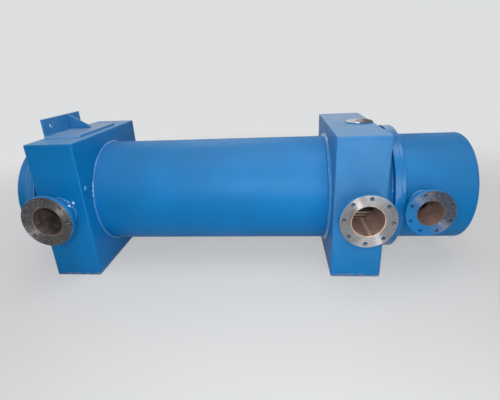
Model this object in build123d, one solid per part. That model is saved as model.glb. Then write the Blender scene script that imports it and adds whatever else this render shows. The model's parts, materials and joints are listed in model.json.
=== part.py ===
from build123d import *
from collections import namedtuple
from math import floor, sqrt
import os

# Water-cooled heat exchanger, in millimetres. A round shell of straight tubes runs between two
# square gas headers that stand on the floor. The right end has the two-pass water channel and
# the left end a short return cap.
# Origin: on the floor under the middle of the left header. +X runs along the shell towards the
# water channel, +Y to the rear and +Z up.

# Shell and headers
SHELL_OD = 635
SHELL_WALL = 10
HEADER_SPAN = 1635  # middle of the left header to middle of the right one
HEADER_WIDTH = 270
HEADER_DEPTH = 830
HEADER_HEIGHT = 796
HEADER_PLATE = 12
HEADER_CORNER_SHARE = 0.8  # of the plate, the round on a header's upright edges
HEADER_TOP_SHARE = 0.4  # of the plate, the round on a header's top edges

# Ends beyond the headers
NECK_LENGTH = 55
TUBE_SHEET_RIM = 55  # by which the tube sheets and rings stand out from the shell
TUBE_SHEET_THICKNESS = 34
RING_THICKNESS = 20
CHANNEL_LENGTH = 380
CAP_LENGTH = 80
END_PLATE = 14
END_ROUND_SHARE = 0.6  # of the end plate, the round on its edge
PARTITION_THICKNESS = 10

# Tubes, on a triangular pitch
TUBE_OD = 19.05
TUBE_WALL = 1.65
TUBE_PITCH = 25.4
TUBE_LAYERS = 2
BUNDLE_GAP = 12  # between the shell's wall and the outermost tubes

# Gas nozzles on the front of both headers
GAS_PIPE_OD = 168.3
GAS_PIPE_WALL = 4.5
GAS_FLANGE_OD = 285
GAS_FLANGE_THICKNESS = 24
GAS_BOLT_CIRCLE = 240
GAS_BOLT_HOLE = 22
GAS_BOLT_COUNT = 8
GAS_FIRST_BOLT = -4  # degrees from the horizontal
GAS_REACH = 130  # flange face in front of the header
GAS_INSIDE = 78  # pipe end behind the front plate, short of the tubes
GAS_SHIFT = 15  # from the middle of the header towards its tube sheet
GAS_LEFT_RISE = 12  # left nozzle above the shell's axis

# Water nozzles on the front and rear of the channel
WATER_PIPE_OD = 139.7
WATER_PIPE_WALL = 4
WATER_FLANGE_OD = 250
WATER_FLANGE_THICKNESS = 22
WATER_BOLT_CIRCLE = 210
WATER_BOLT_HOLE = 18
WATER_BOLT_COUNT = 8
WATER_FIRST_BOLT = 22.5
WATER_CLEARANCE = 52  # back of the flange beyond the rim of the tube sheet
WATER_INSIDE = 60  # pipe end inside the channel's wall
WATER_OFFSET = 103  # nozzle axis beyond the channel's ring

# Bracket on the left header
BRACKET_LENGTH = 392
BRACKET_Y = -28  # middle of the upright, from the shell's axis to the rear
BRACKET_PLATE = 12
BRACKET_HEIGHT = 105
BRACKET_PAD_WIDTH = 219
BRACKET_PAD_LENGTH = 440
BRACKET_PAD_Y = -5
BRACKET_HOLE = 25
BRACKET_HOLE_SPACING = 256
BRACKET_HOLE_HEIGHT = 62  # above the top of the header
GUSSET_LENGTH = 135
GUSSET_TOE = 14
GUSSET_Y = 33

# Vent flange on the right header
VENT_OD = 150
VENT_THICKNESS = 10
VENT_BORE = 43
VENT_BOLT_CIRCLE = 110
VENT_BOLT_HOLE = 14
VENT_BOLT_COUNT = 4
VENT_FIRST_BOLT = 45
VENT_SHIFT = 55  # from the middle of the header towards its tube sheet

# Fits and edges
SLIP_GAP = 0.3  # around a pipe in its hole
PIPE_SETBACK = 5  # pipe end behind the flange face
TUBE_GAP = 0.1  # around a tube in its tube sheet
FLANGE_CHAMFER = 1.5
RIM_ROUND = 3  # on tube sheets and rings, which leaves a groove between them
OVERRUN = 5  # by which a cutting tool passes the face it cuts

# Worked out from the sizes above
AXIS_Z = HEADER_HEIGHT / 2
SHELL_ID = SHELL_OD - 2 * SHELL_WALL
TUBE_SHEET_OD = SHELL_OD + 2 * TUBE_SHEET_RIM
HEADER_CORNER = HEADER_CORNER_SHARE * HEADER_PLATE
WATER_REACH = TUBE_SHEET_RIM + WATER_CLEARANCE + WATER_FLANGE_THICKNESS
ROW_PITCH = TUBE_PITCH * sqrt(3) / 2
BUNDLE_RADIUS = SHELL_ID / 2 - BUNDLE_GAP - TUBE_OD / 2
HEADER_FRONT = -HEADER_DEPTH / 2
LEFT, RIGHT = -1, 1
FRONT, REAR = -1, 1

Nozzle = namedtuple("Nozzle", "pipe_od pipe_wall flange_od flange_thickness circle hole count first")
GAS = Nozzle(GAS_PIPE_OD, GAS_PIPE_WALL, GAS_FLANGE_OD, GAS_FLANGE_THICKNESS,
             GAS_BOLT_CIRCLE, GAS_BOLT_HOLE, GAS_BOLT_COUNT, GAS_FIRST_BOLT)
WATER = Nozzle(WATER_PIPE_OD, WATER_PIPE_WALL, WATER_FLANGE_OD, WATER_FLANGE_THICKNESS,
               WATER_BOLT_CIRCLE, WATER_BOLT_HOLE, WATER_BOLT_COUNT, WATER_FIRST_BOLT)


def header_middle(side):
    """X of a header's middle."""
    return 0 if side == LEFT else HEADER_SPAN


def beyond_header(side, distance):
    """X of a point that lies a distance beyond a header's outer face."""
    return header_middle(side) + side * (HEADER_WIDTH / 2 + distance)


def plate(x_ends, y_ends, z_ends):
    """Flat plate between two corners."""
    middle = [sum(ends) / 2 for ends in (x_ends, y_ends, z_ends)]
    size = [abs(ends[1] - ends[0]) for ends in (x_ends, y_ends, z_ends)]
    return Pos(*middle) * Box(*size)


def across_shell(x):
    """Plane square to the shell's axis, facing +X."""
    return Plane(origin=(x, 0, AXIS_Z), x_dir=(0, 1, 0), z_dir=(1, 0, 0))


def round_bar(x_ends, diameter):
    """Solid cylinder on the shell's axis."""
    start, end = sorted(x_ends)
    return extrude(across_shell(start) * Circle(diameter / 2), amount=end - start)


def round_pipe(x_ends, outer, inner):
    """Pipe on the shell's axis."""
    start, end = sorted(x_ends)
    section = Circle(outer / 2) - Circle(inner / 2)
    return extrude(across_shell(start) * section, amount=end - start)


def rim_edges(piece):
    """The two outermost circles of a round piece."""
    return piece.edges().filter_by(GeomType.CIRCLE).sort_by(SortBy.RADIUS)[-2:]


def nozzle_plane(x, y, facing, rise=0):
    """Plane of a nozzle's flange face, with its normal pointing out."""
    return Plane(origin=(x, y, AXIS_Z + rise), x_dir=(1, 0, 0), z_dir=(0, facing, 0))


def nozzle_pipe(size, length):
    """Pipe that runs inwards from its set-back end, seen from the flange face."""
    section = Circle(size.pipe_od / 2) - Circle(size.pipe_od / 2 - size.pipe_wall)
    return Pos(0, 0, -PIPE_SETBACK) * extrude(section, amount=PIPE_SETBACK - length)


def nozzle_hole(size, length):
    """Cutter for the hole that takes a nozzle's pipe."""
    return extrude(Circle(size.pipe_od / 2 + SLIP_GAP), amount=-length)


def bolt_holes(circle, hole, count, first):
    """Round holes on a bolt circle, as a sketch."""
    return PolarLocations(circle / 2, count, start_angle=first) * Circle(hole / 2)


def slip_on_flange(size):
    """Flat-faced plate flange with its face at zero, on a pipe that slips through it."""
    disc = extrude(Circle(size.flange_od / 2), amount=-size.flange_thickness)
    disc = chamfer(disc.edges(), FLANGE_CHAMFER)
    openings = [Circle(size.pipe_od / 2 + SLIP_GAP)]
    openings += bolt_holes(size.circle, size.hole, size.count, size.first)
    for opening in openings:
        disc -= extrude(opening, amount=-size.flange_thickness)
    return disc


def shell():
    """Shell between the inner sides of the two headers."""
    ends = (header_middle(LEFT) + HEADER_WIDTH / 2, header_middle(RIGHT) - HEADER_WIDTH / 2)
    return round_pipe(ends, SHELL_OD, SHELL_ID)


def gas_nozzle_place(side):
    """Flange face of a header's gas nozzle."""
    x = header_middle(side) + side * GAS_SHIFT
    rise = GAS_LEFT_RISE if side == LEFT else 0
    return nozzle_plane(x, HEADER_FRONT - GAS_REACH, FRONT, rise)


def vent_place():
    """Seat of the vent flange on top of the right header."""
    x = header_middle(RIGHT) + RIGHT * VENT_SHIFT
    return Plane(origin=(x, 0, HEADER_HEIGHT), x_dir=(1, 0, 0), z_dir=(0, 0, 1))


def header_plates(side):
    """The six plates of a header, by name. The sides are open to the shell and the neck."""
    middle = header_middle(side)
    width = (middle - HEADER_WIDTH / 2, middle + HEADER_WIDTH / 2)
    depth = (HEADER_FRONT, -HEADER_FRONT)
    inside_depth = (HEADER_FRONT + HEADER_PLATE, -HEADER_FRONT - HEADER_PLATE)
    inside_height = (HEADER_PLATE, HEADER_HEIGHT - HEADER_PLATE)
    bottom = plate(width, depth, (0, HEADER_PLATE))
    bottom = fillet(bottom.edges().filter_by(Axis.Z), HEADER_CORNER)
    top = Pos(0, 0, HEADER_HEIGHT - HEADER_PLATE) * bottom
    top = fillet(top.edges().group_by(Axis.Z)[-1], HEADER_TOP_SHARE * HEADER_PLATE)
    front = plate(width, (depth[0], inside_depth[0]), inside_height)
    front = fillet(front.edges().filter_by(Axis.Z).group_by(Axis.Y)[0], HEADER_CORNER)
    rear = plate(width, (inside_depth[1], depth[1]), inside_height)
    rear = fillet(rear.edges().filter_by(Axis.Z).group_by(Axis.Y)[-1], HEADER_CORNER)
    front -= gas_nozzle_place(side) * nozzle_hole(GAS, GAS_REACH + HEADER_PLATE + OVERRUN)
    if side == RIGHT:
        top -= vent_place() * Cylinder(VENT_BORE / 2, HEADER_PLATE * 2 + OVERRUN)
    sides = {}
    for name, edge, inwards in (("inner", -side, side), ("outer", side, -side)):
        face = middle + edge * HEADER_WIDTH / 2
        thickness = (face, face + inwards * HEADER_PLATE)
        sides[name] = plate(thickness, inside_depth, inside_height) - round_bar(thickness, SHELL_ID)
    return {
        "front_plate": front,
        "rear_plate": rear,
        "top_plate": top,
        "bottom_plate": bottom,
        "inner_side_plate": sides["inner"],
        "outer_side_plate": sides["outer"],
    }


def gas_nozzle(side):
    """Pipe and flange of a header's gas nozzle. The pipe goes on behind the front plate."""
    place = gas_nozzle_place(side)
    return {
        "pipe": place * nozzle_pipe(GAS, GAS_REACH + HEADER_PLATE + GAS_INSIDE),
        "flange": place * slip_on_flange(GAS),
    }


def tube_places():
    """Y and Z of the foremost tubes in the rows that a gas nozzle looks on to."""
    places = []
    rows = floor(GAS_FLANGE_OD / 2 / ROW_PITCH)
    for row in range(-rows, rows + 1):
        z = row * ROW_PITCH
        stagger = TUBE_PITCH / 2 if row % 2 else 0
        foremost = floor((sqrt(BUNDLE_RADIUS**2 - z**2) - stagger) / TUBE_PITCH)
        for layer in range(TUBE_LAYERS):
            places.append((-stagger - (foremost - layer) * TUBE_PITCH, z))
    return places


def tubes():
    """Tubes from the outer face of one tube sheet to the outer face of the other."""
    reach = NECK_LENGTH + TUBE_SHEET_THICKNESS
    start, end = beyond_header(LEFT, reach), beyond_header(RIGHT, reach)
    section = Circle(TUBE_OD / 2) - Circle(TUBE_OD / 2 - TUBE_WALL)
    tube = extrude(across_shell(start) * section, amount=end - start)
    return Compound(children=[Pos(0, y, z) * tube for y, z in tube_places()])


def tube_sheet(side):
    """Round sheet, drilled for the tubes."""
    ends = [beyond_header(side, NECK_LENGTH + depth) for depth in (0, TUBE_SHEET_THICKNESS)]
    section = Circle(TUBE_SHEET_OD / 2)
    section -= Locations(*tube_places()) * Circle(TUBE_OD / 2 + TUBE_GAP)
    sheet = extrude(across_shell(min(ends)) * section, amount=TUBE_SHEET_THICKNESS)
    return fillet(rim_edges(sheet), RIM_ROUND)


def end_ring(ends):
    """Ring between a tube sheet and the water barrel."""
    ring = round_pipe(ends, TUBE_SHEET_OD, SHELL_ID)
    return fillet(rim_edges(ring), RIM_ROUND)


def end_plate(side, ends):
    """Flat end plate with a rounded outer edge."""
    disc = round_bar(ends, SHELL_OD)
    outermost = disc.edges().sort_by(Axis.X)[-1 if side == RIGHT else 0]
    return fillet(outermost, END_ROUND_SHARE * END_PLATE)


def end_pieces(side, barrel_length):
    """Neck, tube sheet, ring, barrel and end plate, from a header outwards."""
    lengths = (NECK_LENGTH, TUBE_SHEET_THICKNESS, RING_THICKNESS, barrel_length, END_PLATE)
    stations = [beyond_header(side, sum(lengths[:count])) for count in range(len(lengths) + 1)]
    neck_ends, _, ring_ends, barrel_ends, plate_ends = zip(stations, stations[1:])
    return {
        "neck": round_pipe(neck_ends, SHELL_OD, SHELL_ID),
        "tube_sheet": tube_sheet(side),
        "ring": end_ring(ring_ends),
        "barrel": round_pipe(barrel_ends, SHELL_OD, SHELL_ID),
        "end_plate": end_plate(side, plate_ends),
    }


def water_nozzle_place(facing):
    """Flange face of a water nozzle."""
    x = beyond_header(RIGHT, NECK_LENGTH + TUBE_SHEET_THICKNESS + RING_THICKNESS + WATER_OFFSET)
    return nozzle_plane(x, facing * (SHELL_OD / 2 + WATER_REACH), facing)


def channel_barrel(barrel):
    """Channel barrel with the holes for its two water nozzles."""
    for facing in (FRONT, REAR):
        barrel -= water_nozzle_place(facing) * nozzle_hole(WATER, WATER_REACH + SHELL_OD / 2)
    return barrel


def water_nozzle(facing):
    """Pipe and flange of a water nozzle. The pipe goes on inside the channel's wall."""
    place = water_nozzle_place(facing)
    return {
        "pipe": place * nozzle_pipe(WATER, WATER_REACH + SHELL_WALL + WATER_INSIDE),
        "flange": place * slip_on_flange(WATER),
    }


def channel_partition():
    """Upright plate that parts the water going in from the water coming out."""
    start = NECK_LENGTH + TUBE_SHEET_THICKNESS
    ends = [beyond_header(RIGHT, start + depth) for depth in (0, RING_THICKNESS + CHANNEL_LENGTH)]
    half_height = SHELL_ID / 2 - SLIP_GAP
    thickness = (-PARTITION_THICKNESS / 2, PARTITION_THICKNESS / 2)
    corner = sqrt(half_height**2 - (PARTITION_THICKNESS / 2)**2)
    return plate(ends, thickness, (AXIS_Z - corner, AXIS_Z + corner))


def bracket():
    """Pad, drilled upright and gusset on top of the left header, at its outer edge."""
    outer = header_middle(LEFT) - HEADER_WIDTH / 2
    length = (BRACKET_Y - BRACKET_LENGTH / 2, BRACKET_Y + BRACKET_LENGTH / 2)
    pad_length = (BRACKET_PAD_Y - BRACKET_PAD_LENGTH / 2, BRACKET_PAD_Y + BRACKET_PAD_LENGTH / 2)
    pad_top = HEADER_HEIGHT + BRACKET_PLATE
    top = HEADER_HEIGHT + BRACKET_HEIGHT
    pad = plate((outer, outer + BRACKET_PAD_WIDTH), pad_length, (HEADER_HEIGHT, pad_top))
    upright = plate((outer, outer + BRACKET_PLATE), length, (pad_top, top))
    hole_middle = Pos(outer, BRACKET_Y, HEADER_HEIGHT + BRACKET_HOLE_HEIGHT)
    hole = Rotation(0, 90, 0) * Cylinder(BRACKET_HOLE / 2, BRACKET_PLATE * 2 + OVERRUN)
    for y in (-BRACKET_HOLE_SPACING / 2, BRACKET_HOLE_SPACING / 2):
        upright -= hole_middle * Pos(0, y, 0) * hole
    root = outer + BRACKET_PLATE
    outline = Polyline((root, pad_top), (root + GUSSET_LENGTH, pad_top),
                       (root + GUSSET_LENGTH, pad_top + GUSSET_TOE), (root, top), close=True)
    side = Plane(origin=(0, GUSSET_Y, 0), x_dir=(1, 0, 0), z_dir=(0, -1, 0))
    gusset = extrude(side * make_face(outline), amount=BRACKET_PLATE / 2, both=True)
    return {"pad": pad, "upright": upright, "gusset": gusset}


def vent_flange():
    """Pad flange of the vent, drilled for studs."""
    disc = extrude(Circle(VENT_OD / 2), amount=VENT_THICKNESS)
    disc = chamfer(disc.edges().sort_by(Axis.Z)[-1], FLANGE_CHAMFER)
    openings = [Circle(VENT_BORE / 2)]
    openings += bolt_holes(VENT_BOLT_CIRCLE, VENT_BOLT_HOLE, VENT_BOLT_COUNT, VENT_FIRST_BOLT)
    for opening in openings:
        disc -= extrude(opening, amount=VENT_THICKNESS)
    return vent_place() * disc


def named(prefix, pieces):
    """The same pieces, with a prefix on their names."""
    return {f"{prefix}_{name}": piece for name, piece in pieces.items()}


def heat_exchanger():
    """Every piece, by node name."""
    channel = named("channel", end_pieces(RIGHT, CHANNEL_LENGTH))
    channel["channel_barrel"] = channel_barrel(channel["channel_barrel"])
    return {
        "shell": shell(),
        **named("left_header", header_plates(LEFT)),
        **named("right_header", header_plates(RIGHT)),
        **named("cap", end_pieces(LEFT, CAP_LENGTH)),
        **channel,
        "channel_partition": channel_partition(),
        **named("left_nozzle", gas_nozzle(LEFT)),
        **named("right_nozzle", gas_nozzle(RIGHT)),
        **named("water_inlet", water_nozzle(FRONT)),
        **named("water_outlet", water_nozzle(REAR)),
        "tubes": tubes(),
        **named("bracket", bracket()),
        "vent_flange": vent_flange(),
    }


os.makedirs("parts", exist_ok=True)
for node, piece in heat_exchanger().items():
    export_step(piece, f"parts/{node}.step")
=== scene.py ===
"""Finish of a water-cooled heat exchanger: enamel, turned faces, primer, weld beads and a stage."""

import json
import math
import random

import bmesh
import bpy
from bpy.props import FloatProperty, FloatVectorProperty, PointerProperty
from mathutils import Matrix, Vector


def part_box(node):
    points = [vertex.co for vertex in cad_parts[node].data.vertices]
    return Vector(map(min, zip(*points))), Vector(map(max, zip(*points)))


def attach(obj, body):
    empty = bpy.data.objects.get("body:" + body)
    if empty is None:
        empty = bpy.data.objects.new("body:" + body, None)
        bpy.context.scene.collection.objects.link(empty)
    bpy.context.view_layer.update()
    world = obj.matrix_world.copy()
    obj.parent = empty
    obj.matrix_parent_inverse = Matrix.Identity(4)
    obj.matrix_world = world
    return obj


bl_info = {
    "name": "Heat exchanger finish",
    "version": (1, 0, 0),
    "blender": (4, 5, 0),
    "location": "3D View > Sidebar > Exchanger",
    "description": "Paint, bare steel, primer, weld beads and stage of a water-cooled heat exchanger",
    "category": "Object",
}

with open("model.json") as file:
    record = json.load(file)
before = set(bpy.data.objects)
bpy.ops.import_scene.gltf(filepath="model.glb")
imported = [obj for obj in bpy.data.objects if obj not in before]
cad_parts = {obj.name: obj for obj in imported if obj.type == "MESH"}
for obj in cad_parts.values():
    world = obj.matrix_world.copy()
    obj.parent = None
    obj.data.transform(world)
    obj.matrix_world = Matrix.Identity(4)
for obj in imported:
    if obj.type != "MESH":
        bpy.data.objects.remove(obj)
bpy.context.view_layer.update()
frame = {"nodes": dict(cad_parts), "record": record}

MM = 0.001
X, Y, Z = Vector((1, 0, 0)), Vector((0, 1, 0)), Vector((0, 0, 1))
HEADERS = ("left_header", "right_header")
PLATES = ("front_plate", "rear_plate", "top_plate", "bottom_plate", "inner_side_plate", "outer_side_plate")
ENDS = {"cap": -1, "channel": 1}
GAS_NOZZLES = {"left_nozzle": "left_header", "right_nozzle": "right_header"}
NOZZLES = (*GAS_NOZZLES, "water_inlet", "water_outlet")
BORES = {mount["name"]: mount["dims"]["r_mm"] * MM
         for mount in frame["record"]["mounts"] if mount["kind"] == "bore"}

# How stained each flange face is, and the way from which blue overspray has drifted on to it.
FLANGE_AGES = {"left_nozzle": (0.85, None),
               "right_nozzle": (0.0, None),
               "water_inlet": (0.95, (-0.8, 0, -0.6)),
               "water_outlet": (0.95, (0.6, 0, -0.8))}
# How far the paint has chalked, which also paints sheen and highlights, how thick dust lies on flat tops,
# which also paints a sheen there, and how worn the edges are, which also paints highlights on them.
WEATHER_AND_LIGHT = {"left_header": (0.0, 0.18, 0.0),
           "right_header": (0.13, 0.5, 0.7),
           "bracket": (0.12, 0.75, 1.0),
           "rounds": (0.0, 0.2, 0.6),
           "round_welds": (0.05, 0.0, 0.0),
           "pad_weld": (0.42, 0.0, 0.0)}
# How far any flat top chalks besides, which also paints a sheen on it, how thick dust lies on what looks up,
# which also paints a sheen there, and how bare the feet are.
TOP_CHALK_AND_SHEEN, DUST_AND_SHEEN_FILM, SCRAPED_FEET = 0.3, 0.06, 0.45
# Specular level, lowest roughness and coat of the enamel, which lies glossier where it is thick.
GLOSS = {"satin": (0.16, 0.42, 0.0),
         "rolled": (0.18, 0.46, 0.0),
         "rim": (0.4, 0.18, 0.0),
         "bead": (0.5, 0.16, 0.4),
         "wet": (0.8, 0.2, 0.8)}
PAINT_IOR, COAT_ROUGHNESS = 1.5, 0.16
# How far the primer is darkened: inside the headers as painted shade, and in each pipe.
HEADER_PAINTED_SHADE = 0.9
PIPE_DARKENING = {"left_nozzle": 0.8, "right_nozzle": 0.0, "water_inlet": 0.15, "water_outlet": 0.15}
# The side of the vent flange that has rusted.
RUSTED_SIDE = (0.97, -0.24, 0)
# Depth at which the inside of shell and ends begins, paint over a flange's edge, and width of a worn edge,
# which also carries a painted highlight.
PRIMED_DEPTH, RIM_PAINT, WORN_AND_HIGHLIT_EDGE = 5 * MM, 2.4 * MM, 7 * MM

# Shares of the settings for each kind of fillet weld: its leg, its crown as a share of that leg, the height
# of its ripples and the length of its pools.
FILLETS = {"round": (1, 0.2, 0.4, 1.3),
           "wide_round": (1.9, 0.2, 0.4, 1.3),
           "nozzle": (1, 0.2, 1, 1),
           "bore": (1, 0.2, 0.4, 1),
           "fitting": (1, 0.2, 0.4, 1),
           "pad": (1.5, 0.45, 1.1, 1)}
# Ripple of a dressed seam, and crown and ripple of the long seam in a pipe, as shares of the seam height.
SEAM_RIPPLE, PIPE_SEAM_CROWN, PIPE_SEAM_RIPPLE = 0.25, 3, 0.6
# The long seam's turn from the lowest line of its pipe, and its distance from the pipe's ends.
PIPE_SEAM_TURN, PIPE_SEAM_INSET = math.radians(12), 3 * MM
# Stations along one pool of a fillet, a straight seam and a round seam, and the fewest along any bead.
FILLET_STATIONS, SEAM_STATIONS, ROUND_SEAM_STATIONS = 6, 3, 2
FEWEST_ROUND, FEWEST_STRAIGHT = 24, 4
# Tacks on the left nozzle: their turn about the pipe, half length, half width, crown, how far one sits above
# the header and the other away from the pipe, how they lean, and the distance between their stations.
TACK_TURN = math.radians(33)
TACK_HALF_LENGTH, TACK_HALF_WIDTH, TACK_CROWN = 14 * MM, 13 * MM, 4 * MM
TACK_RISE, TACK_REACH, TACK_LEAN, TACK_STEP = 20 * MM, 19 * MM, (0.55, 0.84), 2 * MM
# Scar on the inner side of the left header: its lower end as shares of the header's half depth and height,
# the way that it runs, its length, half width and crown, and the distance between its stations.
SCAR_PLACE, SCAR_WAY = (-0.92, 0.31), Vector((0, 0.34, 0.94))
SCAR_LENGTH, SCAR_HALF_WIDTH, SCAR_CROWN, SCAR_STEP = 32 * MM, 20 * MM, 16 * MM, 3 * MM

# Side of each square lamp and its place, in metres, and the point that all of them face.
LIGHTS = {"key": (0.6, Vector((1.05, -2.35, 1.36))),
          "side": (1.2, Vector((-2.4, -0.5, 1.7))),
          "fill": (1.2, Vector((2.0, -2.1, 0.8))),
          "top": (3.0, Vector((1.5, -0.5, 4.2))),
          "rear": (2.2, Vector((0.2, 3.2, 3.4)))}
LIT_POINT = Vector((1.0, 0, 0.4))
SENSOR_WIDTH = 36
# Radii of the floor's rings, radius of the bend round it and heights of the wall's rings, in metres, and the
# steps of the bend and of a full turn.
FLOOR_RINGS, BEND, WALL_RINGS = (0.0, 1.5, 3.0, 4.5), 2.5, (4.5, 6.5)
BEND_STEPS, FLOOR_TURNS = 12, 96
# Distance of the floor's middle from the shell's, to the right.
FLOOR_SHIFT = 0.15


def middle_and_half(*nodes):
    """Middle and half size of the box round some CAD nodes, in metres."""
    corners = [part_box(node) for node in nodes]
    low = Vector([min(corner[0][axis] for corner in corners) for axis in range(3)])
    high = Vector([max(corner[1][axis] for corner in corners) for axis in range(3)])
    return (low + high) / 2, (high - low) / 2


def header_box(header):
    """Middle and half size of a header."""
    return middle_and_half(*[f"{header}_{plate}" for plate in PLATES])


SHELL_MIDDLE, SHELL_HALF = middle_and_half("shell")
SHELL_RADIUS = SHELL_HALF.z
HEADER_PLATE = 2 * middle_and_half("left_header_front_plate")[1].y
# Heights, below the axis, between which painted shade begins on the tubes; all tubes above are darkened.
SHADED_TUBE_HEIGHTS = (SHELL_MIDDLE.z - 56 * MM, SHELL_MIDDLE.z - 44 * MM)


def linear(code):
    """Linear colour of an sRGB hex value."""
    parts = [int(code[place:place + 2], 16) / 255 for place in (1, 3, 5)]
    return [part / 12.92 if part <= 0.04045 else ((part + 0.055) / 1.055) ** 2.4 for part in parts]


def colour(name, description, code):
    """Colour property of a settings group."""
    return FloatVectorProperty(name=name, description=description, default=linear(code), size=3,
                               min=0, max=1, subtype="COLOR")


def length(name, description, millimetres):
    """Length property of a settings group, given in millimetres."""
    return FloatProperty(name=name, description=description, default=millimetres * MM, min=0, unit="LENGTH")


def lamp_power(name, description, watts):
    """Power property of a settings group, given in watts."""
    return FloatProperty(name=name, description=description, default=watts, min=0, unit="POWER")


def camera_angle(name, description, degrees):
    """Angle property of a settings group, given in degrees."""
    return FloatProperty(name=name, description=description, default=math.radians(degrees), subtype="ANGLE")


class FinishSettings(bpy.types.PropertyGroup):
    """Colours of the finishes and sizes of their patterns."""

    enamel: colour("Enamel", "Paint on all outer faces", "#0575B6")
    # The chalk colour also paints sheen on tops and highlights on edges and on the pad weld.
    chalk_and_painted_light: colour("Chalk", "Thin, weathered paint on edges and flat tops", "#9CC4E8")
    # The dust colour also paints a sheen of light on what looks up.
    dust_and_sheen: colour("Dust", "Thin dust on what looks up", "#A9B9CC")
    primer: colour("Primer", "Brown primer in the bores and inside the plates", "#A0847A")
    # This dark colour paints shade in the headers, between the tubes and on the upper tubes, and darkens the
    # pipes.
    painted_shade_and_darkening: colour("Soot", "Dark film in pipes and headers and on the tubes", "#3A3B38")
    steel: colour("Bare steel", "Turned faces of the flanges", "#A9AAAE")
    weld_metal: colour("Weld metal", "Bare weld metal in the bores", "#DCC3AD")
    cut_steel: colour("Cut steel", "Bright side of the vent flange", "#DAD9D5")
    stain: colour("Rust stain", "Thin brown rust on bare steel", "#72645A")
    rust: colour("Rust", "Deep rust on the vent flange and in specks on turned faces", "#453029")
    tube: colour("Tube", "Drawn tubes of the bundle", "#EACBBB")
    peel: length("Orange peel", "Width of the paint's ripples, coarser than real", 12)
    wave: length("Plate wave", "Width of the waves in the plates", 240)
    groove: length("Turning pitch", "Distance between turned grooves, coarser than real", 3)


class WeldSettings(bpy.types.PropertyGroup):
    """Sizes of the weld beads."""

    leg: length("Fillet leg", "Leg of the fillet welds on the round joints", 10)
    nozzle_leg: length("Nozzle leg", "Leg of the fillet welds on the nozzles", 10)
    bracket_leg: length("Bracket leg", "Leg of the fillet welds on bracket and vent flange", 6)
    bore_leg: length("Bore leg", "Leg of the fillet welds between pipe ends and flanges", 4)
    pool: length("Pool length", "Distance between a bead's pools, longer than real so that they show", 15)
    ripple: length("Ripple height", "Height of the pools of a bead", 3.4)
    seam_width: length("Seam width", "Width of the dressed plate seams", 9)
    seam_height: length("Seam height", "Height of the dressed plate seams", 0.6)
    pipe_seam: length("Pipe seam", "Width of the long seam in a nozzle pipe", 16)


class StageSettings(bpy.types.PropertyGroup):
    """Floor, light and camera."""

    floor: colour("Floor", "Colour of floor and backdrop", "#E2E3E4")
    sky: FloatProperty(name="Sky", description="Strength of the light from all round", default=0.08, min=0)
    key: lamp_power("Key light", "Soft light at the camera", 27)
    side: lamp_power("Side light", "Soft light from the left", 17)
    fill: lamp_power("Fill light", "Soft light from the right", 12)
    top: lamp_power("Top light", "Wide soft light overhead", 79)
    rear: lamp_power("Rear light", "Wide soft light behind", 30)
    camera: FloatVectorProperty(name="Camera", description="Place of the camera", size=3,
                                default=(1.22295, -2.13355, 1.14053), subtype="TRANSLATION")
    yaw: camera_angle("Yaw", "Turn of the camera to the right", -5.428)
    pitch: camera_angle("Pitch", "Tilt of the camera down", 21.185)
    roll: camera_angle("Roll", "Roll of the camera", -2.668)
    lens: FloatProperty(name="Lens", description="Focal length in millimetres", default=25.083, min=1,
                        unit="CAMERA")


# Settings of nodes that several materials use. With the first, a Mix takes its factor at 0 and its colours at
# 6 and 7, and gives its result at 2. A Map Range takes its value at 0, from at 1 and 2, and to at 3 and 4.
TINTED = {"data_type": "RGBA"}
EASED = {"interpolation_type": "SMOOTHSTEP"}


def add(tree, kind, settings, inputs, output=0):
    """Adds a shader node with its settings and links, and returns one of its outputs."""
    node = tree.nodes.new("ShaderNode" + kind)
    for name, value in settings.items():
        setattr(node, name, value)
    for name, value in inputs.items():
        if isinstance(value, bpy.types.NodeSocket):
            tree.links.new(value, node.inputs[name])
        else:
            node.inputs[name].default_value = value
    return node.outputs[output] if node.outputs else node


def opaque(shade, tone=1.0):
    """Colour socket value of a settings colour, lightened or darkened by a tone."""
    return (*[part * tone for part in shade], 1)


def distance_to_axis(tree, place, centre, across):
    """Distance from a line through the centre, measured across it."""
    offset = add(tree, "VectorMath", {"operation": "SUBTRACT"}, {0: place, 1: centre})
    flat = add(tree, "VectorMath", {"operation": "MULTIPLY"}, {0: offset, 1: across})
    return add(tree, "VectorMath", {"operation": "LENGTH"}, {0: flat}, "Value")


def facing(tree, direction):
    """How far a face looks in a direction, from -1 to 1."""
    normal = add(tree, "NewGeometry", {}, {}, "Normal")
    return add(tree, "VectorMath", {"operation": "DOT_PRODUCT"}, {0: normal, 1: direction}, "Value")


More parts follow.
